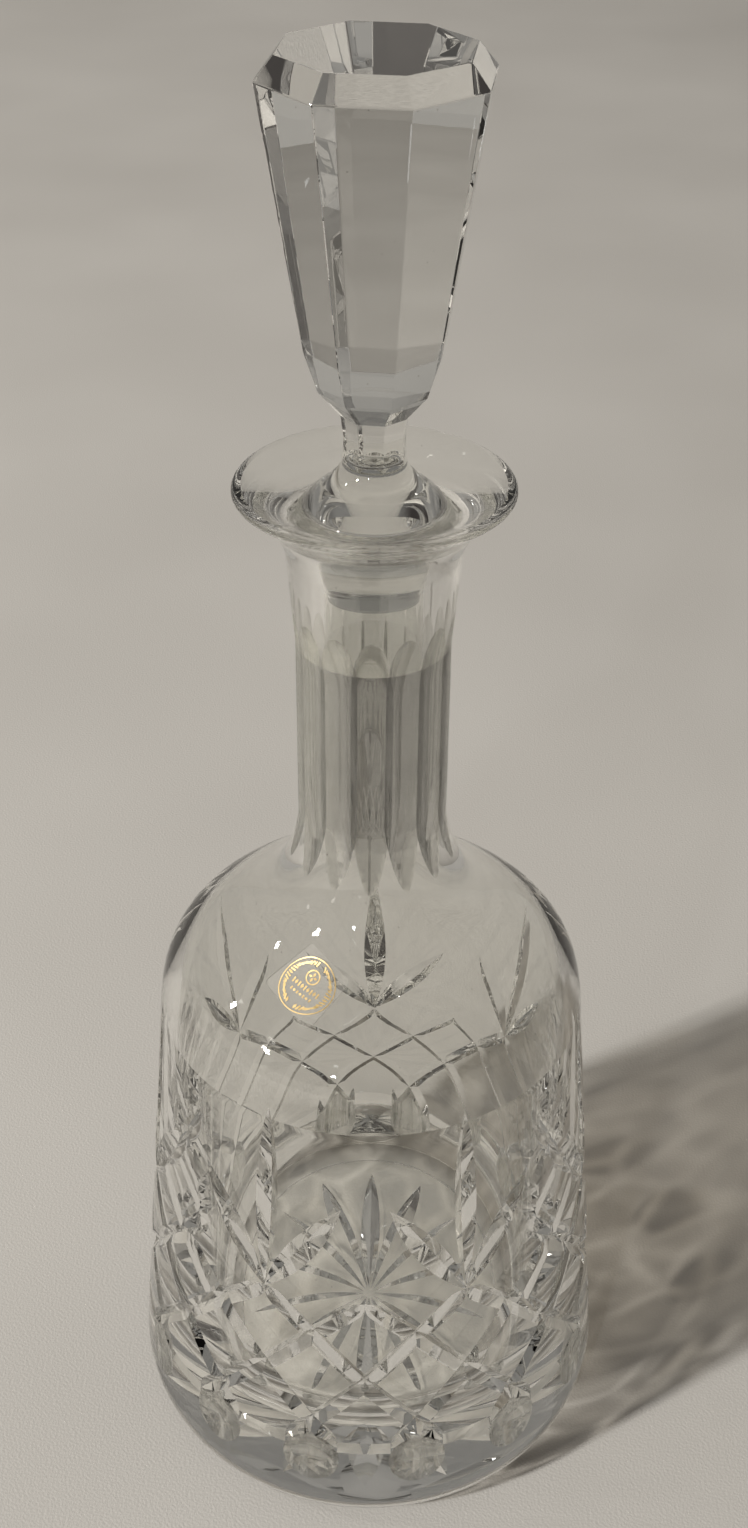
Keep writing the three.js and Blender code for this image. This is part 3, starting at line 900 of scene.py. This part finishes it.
def math_node(tree, operation, *values, clamp=False):
    made = node(tree, "ShaderNodeMath", operation=operation, use_clamp=clamp)
    for socket, value in zip(made.inputs, values):
        feed(tree, socket, value)
    return made.outputs[0]


def between(tree, share, first, second):
    """A colour between two others, each a link or a plain colour."""
    made = node(tree, "ShaderNodeMix", data_type="RGBA")
    for socket, value in ((0, share), (6, first), (7, second)):
        feed(tree, made.inputs[socket], value)
    return made.outputs[2]


def bump_on(tree, shader, height, strength, distance):
    made = node(tree, "ShaderNodeBump")
    for label, value in (("Strength", strength), ("Distance", distance), ("Height", height)):
        feed(tree, made.inputs[label], value)
    tree.links.new(made.outputs["Normal"], shader.inputs["Normal"])


FOOT_WEAR_HEIGHT = 0.0002
SPECK_SIZE = 0.16
SPECK_RARITY = 0.985


def handled_glass():
    """Ripple for bump, haze and a worn foot for roughness, and specks for colour."""
    group, given, out = group_of(
        "handled_glass",
        [
            ("Ripple Scale", "NodeSocketFloat", 45.0),
            ("Haze Scale", "NodeSocketFloat", 260.0),
            ("Haze", "NodeSocketFloat", 0.012),
            ("Foot Wear", "NodeSocketFloat", 0.45),
            ("Speck Scale", "NodeSocketFloat", 900.0),
            ("Clear", "NodeSocketColor", (1, 1, 1, 1)),
            ("Dust", "NodeSocketColor", (0.5, 0.48, 0.45, 1)),
        ],
        [("Ripple", "NodeSocketFloat"), ("Roughness", "NodeSocketFloat"), ("Color", "NodeSocketColor")],
    )
    link = group.links.new
    place = node(group, "ShaderNodeTexCoord").outputs["Object"]
    ripple = noise(group, place, given.outputs["Ripple Scale"], 1.5)
    link(ripple, out.inputs["Ripple"])
    smear = noise(group, place, given.outputs["Haze Scale"], 4.0, 0.6)
    smear = math_node(group, "SUBTRACT", smear, 0.5, clamp=True)
    smear = math_node(group, "MULTIPLY", smear, given.outputs["Haze"])
    height = node(group, "ShaderNodeSeparateXYZ")
    link(place, height.inputs[0])
    foot = math_node(group, "LESS_THAN", height.outputs["Z"], FOOT_WEAR_HEIGHT)
    worn = math_node(group, "MULTIPLY", foot, given.outputs["Foot Wear"])
    link(math_node(group, "MAXIMUM", smear, worn), out.inputs["Roughness"])
    cells = node(group, "ShaderNodeTexVoronoi")
    link(place, cells.inputs["Vector"])
    link(given.outputs["Speck Scale"], cells.inputs["Scale"])
    near = math_node(group, "LESS_THAN", cells.outputs["Distance"], SPECK_SIZE)
    split = node(group, "ShaderNodeSeparateColor")
    link(cells.outputs["Color"], split.inputs[0])
    rare = math_node(group, "GREATER_THAN", split.outputs[0], SPECK_RARITY)
    speck = math_node(group, "MULTIPLY", near, rare)
    link(between(group, speck, given.outputs["Clear"], given.outputs["Dust"]), out.inputs["Color"])
    return group


HANDLED = handled_glass()
print("glass group:", [s.name for s in HANDLED.interface.items_tree])

# %% The crystal shader
CRYSTAL_IOR = 1.545
RIPPLE_HEIGHT = 0.0003
RIM_BLEND = 0.32
RIM_SHADE = (0.12, 0.11, 0.1)
GLINT_WIDTH = 6.0
GLINT_COLOR = (0.97, 0.96, 0.94)


def material_of(name):
    made = bpy.data.materials.new(name)
    made.use_nodes = True
    return made, made.node_tree, made.node_tree.nodes["Principled BSDF"]


def glint_net(tree, shade, scale):
    """Bright wandering lines in the shadow, where the cuts gather the light."""
    place = node(tree, "ShaderNodeTexCoord").outputs["Object"]
    cells = node(tree, "ShaderNodeTexVoronoi", feature="DISTANCE_TO_EDGE")
    feed(tree, cells.inputs["Scale"], scale)
    feed(tree, cells.inputs["Vector"], place)
    off = math_node(tree, "MULTIPLY", cells.outputs["Distance"], GLINT_WIDTH, clamp=True)
    return between(tree, math_node(tree, "SUBTRACT", 1.0, off), shade, GLINT_COLOR)


def crystal(name, tint, ripple_scale, ripple, haze, shadow, glints=0):
    """Refracting glass that casts a tinted shadow, darkest where the glass is seen on edge."""
    made, tree, shader = material_of(name)
    link = tree.links.new
    surface = node(tree, "ShaderNodeGroup", node_tree=HANDLED)
    for label, value in (("Ripple Scale", ripple_scale), ("Haze", haze), ("Clear", tint)):
        feed(tree, surface.inputs[label], value)
    link(surface.outputs["Color"], shader.inputs["Base Color"])
    link(surface.outputs["Roughness"], shader.inputs["Roughness"])
    shader.inputs["Metallic"].default_value = 0
    shader.inputs["Transmission Weight"].default_value = 1
    shader.inputs["IOR"].default_value = CRYSTAL_IOR
    bump_on(tree, shader, surface.outputs["Ripple"], ripple, RIPPLE_HEIGHT)
    edge = node(tree, "ShaderNodeLayerWeight")
    edge.inputs["Blend"].default_value = RIM_BLEND
    shade = between(tree, edge.outputs["Facing"], shadow, RIM_SHADE)
    if glints:
        shade = glint_net(tree, shade, glints)
    clear = node(tree, "ShaderNodeBsdfTransparent")
    link(shade, clear.inputs["Color"])
    rays = node(tree, "ShaderNodeLightPath")
    mix = node(tree, "ShaderNodeMixShader")
    link(rays.outputs["Is Shadow Ray"], mix.inputs[0])
    link(shader.outputs[0], mix.inputs[1])
    link(clear.outputs[0], mix.inputs[2])
    link(mix.outputs[0], tree.nodes["Material Output"].inputs["Surface"])
    return made


bottle_crystal = crystal(
    "bottle_crystal",
    (0.975, 0.975, 0.955),
    ripple_scale=38,
    ripple=0.12,
    haze=0.03,
    shadow=(0.735, 0.715, 0.68),
    glints=75,
)
stopper_crystal = crystal(
    "stopper_crystal",
    (0.95, 0.95, 0.93),
    ripple_scale=60,
    ripple=0.03,
    haze=0.02,
    shadow=(0.6, 0.58, 0.55),
)
print("crystals:", bottle_crystal.name, stopper_crystal.name)

# %% [markdown]
# ## Film and foil
#
# The film is clear vinyl: hardly there, but a little milky and glossy, with a cut edge that shows as a thin
# dark line. The print is gold foil, a metal with fine scratches and a slightly uneven tone.

# %% The label's two materials
def clear_film(name, color, cover):
    made, tree, shader = material_of(name)
    place = node(tree, "ShaderNodeTexCoord").outputs["Object"]
    cloud = noise(tree, place, 900, 4.0)
    shader.inputs["Base Color"].default_value = (*color, 1)
    cloudy_cover = math_node(tree, "MULTIPLY_ADD", cloud, cover * 0.6, cover * 0.7)
    tree.links.new(cloudy_cover, shader.inputs["Alpha"])
    tree.links.new(math_node(tree, "MULTIPLY", cloud, 0.3), shader.inputs["Roughness"])
    return made


def gold_foil(name):
    made, tree, shader = material_of(name)
    place = node(tree, "ShaderNodeTexCoord").outputs["Object"]
    grain = noise(tree, place, 1400, 6.0, 0.7)
    tree.links.new(between(tree, grain, (0.62, 0.4, 0.14), (0.98, 0.78, 0.42)), shader.inputs["Base Color"])
    shader.inputs["Metallic"].default_value = 1
    tree.links.new(math_node(tree, "MULTIPLY_ADD", grain, 0.35, 0.2), shader.inputs["Roughness"])
    bump_on(tree, shader, grain, 0.3, 0.00005)
    return made


film_face = clear_film("label_film_face", (0.7, 0.67, 0.62), 0.07)
film_rim = clear_film("label_film_edge", (0.16, 0.15, 0.13), 0.55)
foil = gold_foil("gold_foil")
print("label materials:", film_face.name, film_rim.name, foil.name)

# %% Dress every piece and tie it to the frame
def dress(piece, *materials):
    """Cutting leaves an empty material slot for each cutter, so the slots are cleared first."""
    piece.data.materials.clear()
    for made in materials:
        piece.data.materials.append(made)
    piece.data.polygons.foreach_set("material_index", [0] * len(piece.data.polygons))


dress(blank, bottle_crystal)
dress(stem, stopper_crystal)
dress(film, film_face, film_rim)
dress(seal, foil)
FACE_TILT = 0.5
off_glass = Vector(on_shoulder([(0, 0)], 1)[0] - on_shoulder([(0, 0)], 0)[0])
for face in film.data.polygons:
    if abs(face.normal.dot(off_glass)) < FACE_TILT:
        face.material_index = 1

for piece, body, packed, finish in (
    (blank, "bottle", "decanter_bottle", "bottle_crystal"),
    (stem, "stopper", "stopper", "stopper_crystal"),
    (film, "bottle", "label_film", "label_film"),
    (seal, "bottle", "label_seal", "gold_foil"),
):
    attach(piece, body)
    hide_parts(packed)
    print(piece.name, "rides on", body, "and stands for", packed)

# %% [markdown]
# ## Cloth, room and lamps
#
# Clear glass has no look of its own: it shows what is round it. So the setting is part of the material. The
# decanter stands on a pale cloth. The room is a mid grey that darkens upwards, and it is darkest in front and
# on the right, which gives the facets their darks. One far window at front left throws the shadow, and small
# bulbs give the highlights. A dull brown sheet of painted shade lies in front, outside the camera's view, and
# shows dark through the stopper's top. Focused light isn't traced, so the cloth glows faintly under the foot
# instead.

# %% The pale floor
FLOOR_SIZE = 6.0
# Where the sheet of painted shade lies in front, in metres: it stands in for shade there.
SHADE_SHEET_LEFT, SHADE_SHEET_RIGHT = -0.22, 0.1
SHADE_SHEET_NEAR, SHADE_SHEET_FAR = -0.6, -0.19
SHADE_SHEET_LIFT = 0.001
FOOT_GLOW_RADIUS = 0.051
FOOT_GLOW_FALL = 90
FOOT_GLOW = (0.2, 0.193, 0.175)


def pale_cloth():
    made, tree, shader = material_of("pale_cloth")
    link = tree.links.new
    place = node(tree, "ShaderNodeTexCoord").outputs["Object"]
    soft = noise(tree, place, 5.0, 2.0)
    weave = noise(tree, place, 1500, 2.0)
    link(between(tree, soft, (0.56, 0.535, 0.5), (0.74, 0.715, 0.675)), shader.inputs["Base Color"])
    away = node(tree, "ShaderNodeVectorMath", operation="LENGTH")
    link(place, away.inputs[0])
    inside = math_node(tree, "SUBTRACT", FOOT_GLOW_RADIUS, away.outputs["Value"])
    under = math_node(tree, "MULTIPLY", inside, FOOT_GLOW_FALL, clamp=True)
    link(between(tree, under, (0, 0, 0), FOOT_GLOW), shader.inputs["Emission Color"])
    shader.inputs["Emission Strength"].default_value = 1
    shader.inputs["Roughness"].default_value = 0.95
    shader.inputs["Specular IOR Level"].default_value = 0.1
    bump_on(tree, shader, weave, 0.25, 0.0004)
    return made


# Painted shade: a near-black sheet that shows dark through the stopper's top in place of the shade in front.
def painted_shade_finish():
    made, tree, shader = material_of("painted_shade_finish")
    place = node(tree, "ShaderNodeTexCoord").outputs["Object"]
    grain = noise(tree, place, 300, 2.0)
    tone = between(tree, grain, (0.02, 0.015, 0.013), (0.05, 0.039, 0.034))
    tree.links.new(tone, shader.inputs["Base Color"])
    shader.inputs["Roughness"].default_value = 0.9
    return made


def sheet(name, left, right, near, far, lift, finish):
    """A flat sheet of the setting, in metres."""
    corners = [(left, near, lift), (right, near, lift), (right, far, lift), (left, far, lift)]
    piece = piece_of(name, mesh_of(name, corners, [(0, 1, 2, 3)]))
    piece.data.materials.append(finish)
    return piece


half = FLOOR_SIZE / 2
floor = sheet("floor", -half, half, -half, half, 0, pale_cloth())
painted_shade_sheet = sheet("painted_shade_sheet", SHADE_SHEET_LEFT, SHADE_SHEET_RIGHT, SHADE_SHEET_NEAR, SHADE_SHEET_FAR, SHADE_SHEET_LIFT, painted_shade_finish())
print("floor side:", FLOOR_SIZE, "card side:", round(SHADE_SHEET_RIGHT - SHADE_SHEET_LEFT, 2))


# %% The room
def grey_room(horizon, zenith, front):
    """Dim, darker upwards, and darkest in front and on the right, away from the window."""
    world = bpy.data.worlds.new("grey_room")
    bpy.context.scene.world = world
    world.use_nodes = True
    tree = world.node_tree
    place = node(tree, "ShaderNodeTexCoord").outputs["Generated"]
    split = node(tree, "ShaderNodeSeparateXYZ")
    tree.links.new(place, split.inputs[0])
    height = math_node(tree, "MULTIPLY", split.outputs["Z"], 1.5, clamp=True)
    side = math_node(tree, "MULTIPLY", split.outputs["X"], 0.8)
    ahead = math_node(tree, "MULTIPLY", split.outputs["Y"], -1.3)
    nearness = math_node(tree, "ADD", side, ahead, clamp=True)
    room = between(tree, nearness, between(tree, height, horizon, zenith), front)
    tree.links.new(room, tree.nodes["Background"].inputs["Color"])


grey_room((0.34, 0.325, 0.3), (0.17, 0.165, 0.155), (0.035, 0.03, 0.028))


# %% The lamps
AIM_HEIGHT = 0.12
WARM = (1.0, 0.97, 0.92)
MILD = (1.0, 0.98, 0.95)
COOL = (0.96, 0.98, 1.0)


def lamp(name, azimuth, elevation, distance, width, height, power, color):
    """A soft rectangular lamp that faces the middle of the decanter."""
    data = bpy.data.lights.new(name, "AREA")
    data.shape = "RECTANGLE"
    data.size, data.size_y = width, height
    data.energy = power
    data.color = color
    made = bpy.data.objects.new(name, data)
    bpy.context.scene.collection.objects.link(made)
    a, e = math.radians(azimuth), math.radians(elevation)
    way = Vector((math.cos(a) * math.cos(e), math.sin(a) * math.cos(e), math.sin(e)))
    made.location = Vector((0, 0, AIM_HEIGHT)) + way * distance
    made.rotation_euler = way.to_track_quat("Z", "Y").to_euler()


lamp("bulb_left", -150, 30, 2.6, 0.1, 0.1, 5, WARM)
lamp("bulb_left_near", -146, 27, 2.6, 0.1, 0.1, 5, WARM)
lamp("window", -148, 29, 6, 0.3, 0.3, 345, WARM)
lamp("bulb_back_left", 178, 33, 2.6, 0.1, 0.14, 4, MILD)
lamp("bulb_front", -108, 26, 2.4, 0.1, 0.12, 4, COOL)

# %% How the picture is taken
scene = bpy.context.scene
scene.cycles.max_bounces = 32
scene.cycles.transmission_bounces = 32
scene.cycles.glossy_bounces = 12
scene.cycles.transparent_max_bounces = 48
scene.cycles.caustics_reflective = False
scene.cycles.caustics_refractive = False
scene.cycles.sample_clamp_indirect = 4.0
scene.cycles.use_denoising = True
scene.view_settings.view_transform = "Standard"
scene.view_settings.exposure = 0.0

# %% [markdown]
# ## Bringing the scene up to date
#
# The drawn pieces must stay inside the box of the imported model.

# %% Bring the scene up to date
bpy.context.view_layer.update()
